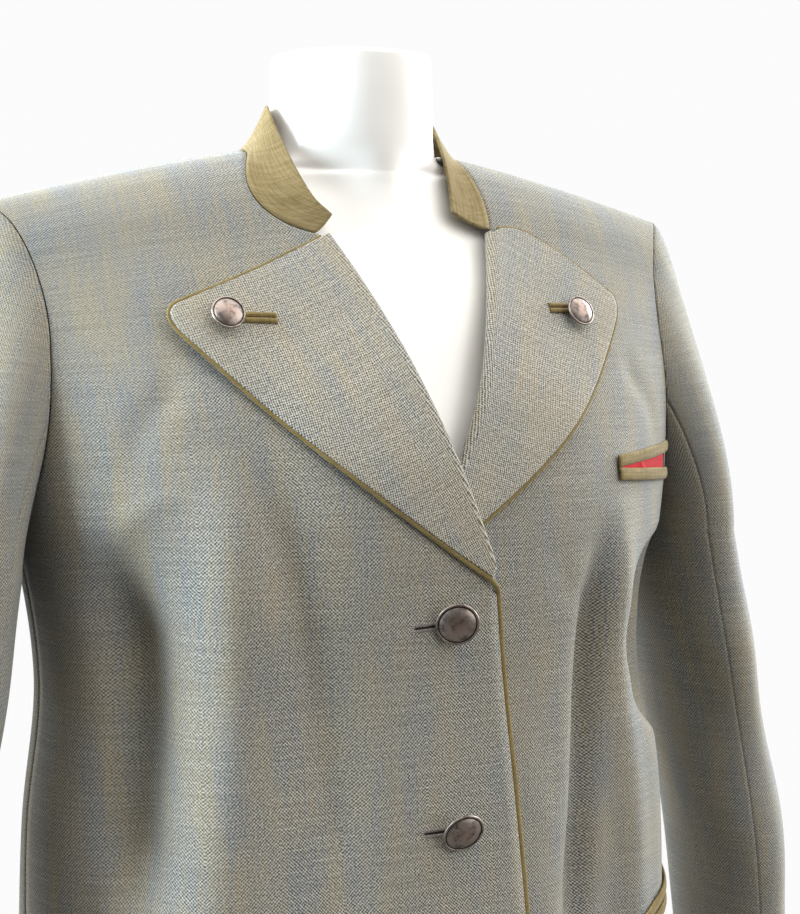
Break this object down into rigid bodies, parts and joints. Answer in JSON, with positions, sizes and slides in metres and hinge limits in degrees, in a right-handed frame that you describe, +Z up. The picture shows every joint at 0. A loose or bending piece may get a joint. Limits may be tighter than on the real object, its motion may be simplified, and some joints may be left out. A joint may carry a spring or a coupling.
{
  "type": "alpine jacket on a dress form",
  "caption": "Women's alpine jacket of herringbone twill with khaki stand collar, wide pointed lapels, piped edges and domed metal buttons, worn by a limbless white dress form",
  "frame": {"origin": "centre of the dress form's flat bottom, on the surface it stands on", "axes": "+Z up, -Y the way the wearer faces, +X the wearer's left"},
  "size_m": [0.651, 0.2696, 0.813],
  "materials": {
    "twill": "soft grey-beige herringbone twill with slubs",
    "khaki_cloth": "plain-woven khaki cloth",
    "olive_cloth": "fine olive cloth",
    "red_cloth": "smooth red cloth",
    "antique_metal": "antiqued silver-copper metal, worn bright on the rim",
    "form_white": "white, half gloss, moulded"
  },
  "bodies": {
    "root": {"dress_form": "form_white", "back": "twill", "front_left": "twill", "front_right": "twill", "lapel_left": "twill", "lapel_right": "twill", "sleeve_top_left": "twill", "sleeve_top_right": "twill", "sleeve_under_left": "twill", "sleeve_under_right": "twill", "collar": "khaki_cloth", "front_piping": "olive_cloth", "lapel_piping_left": "olive_cloth", "lapel_piping_right": "olive_cloth", "lapel_binding_left": "olive_cloth", "lapel_binding_right": "olive_cloth", "breast_welt_upper": "olive_cloth", "breast_welt_lower": "olive_cloth", "hip_welt_upper_left": "olive_cloth", "hip_welt_lower_left": "olive_cloth", "hip_welt_upper_right": "olive_cloth", "hip_welt_lower_right": "olive_cloth", "breast_inset": "red_cloth", "button_front_top": "antique_metal", "button_front_middle": "antique_metal", "button_front_low": "antique_metal", "button_lapel_left": "antique_metal", "button_lapel_right": "antique_metal"}
  },
  "joints": []
}
